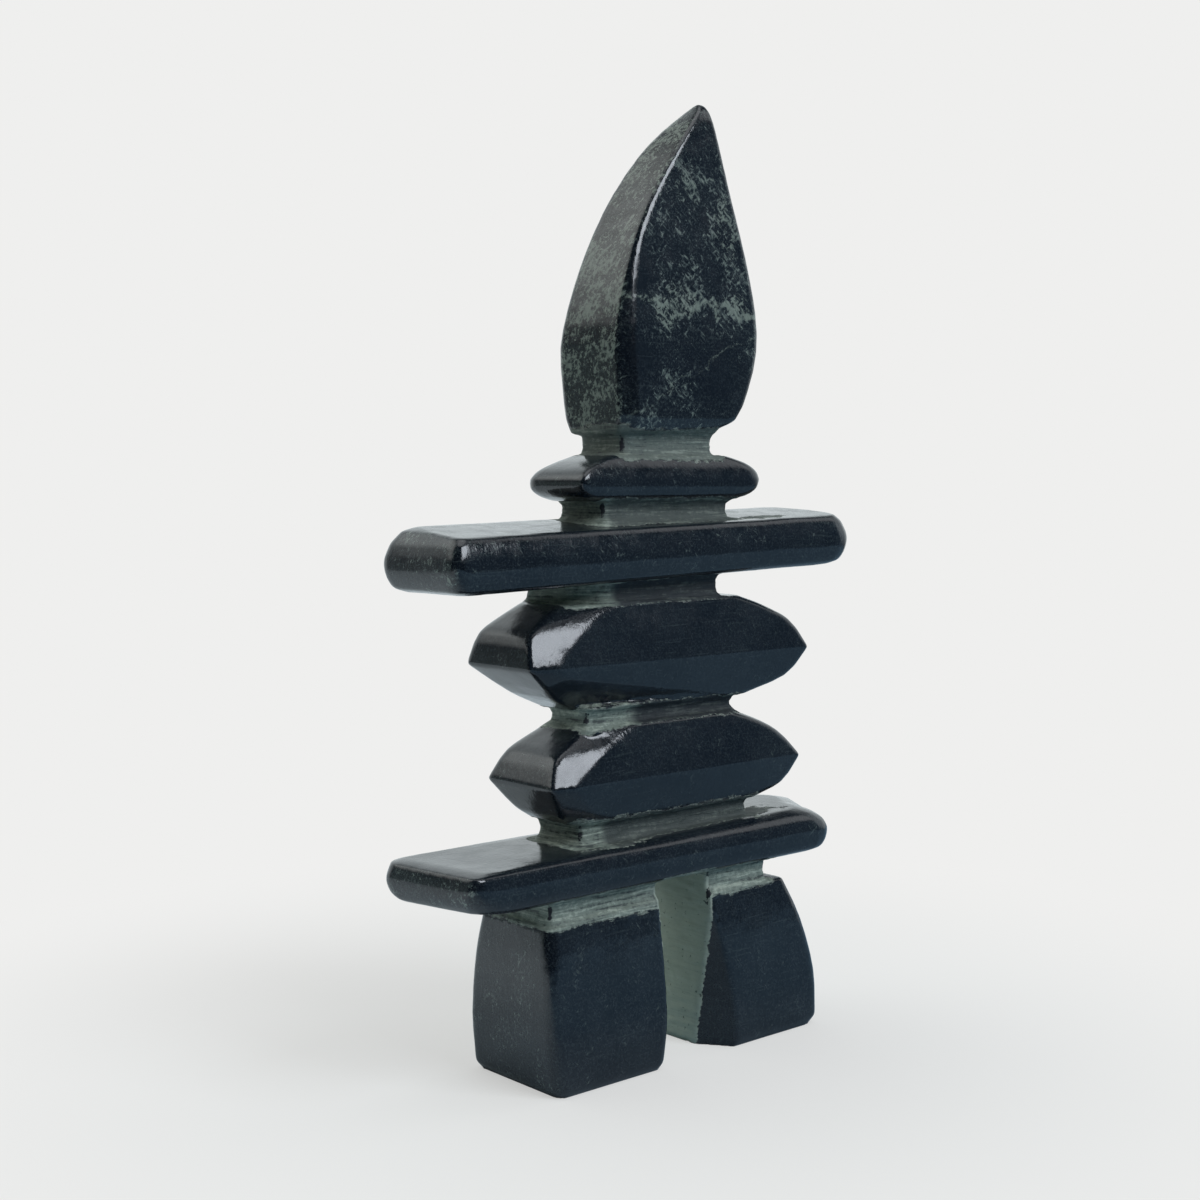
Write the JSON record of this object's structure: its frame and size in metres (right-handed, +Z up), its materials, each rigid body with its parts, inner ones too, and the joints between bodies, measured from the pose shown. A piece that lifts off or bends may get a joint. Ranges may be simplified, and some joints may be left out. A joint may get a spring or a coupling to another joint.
{
  "type": "stone cairn",
  "caption": "Inuksuk-style cairn figure carved in one piece from dark polished soapstone, with two legs, stacked faceted stones, a long arm slab and a pointed head.",
  "frame": {"origin": "on the ground plane, at the middle of the figure's bounding box", "axes": "+Z up, X along the arms, the front of the figure looks along -Y"},
  "size_m": [0.1128, 0.028, 0.2],
  "materials": {
    "carved_cairn": "polished facets, rasped waists"
  },
  "bodies": {
    "root": {"carved_cairn": "carved_cairn"}
  },
  "joints": []
}
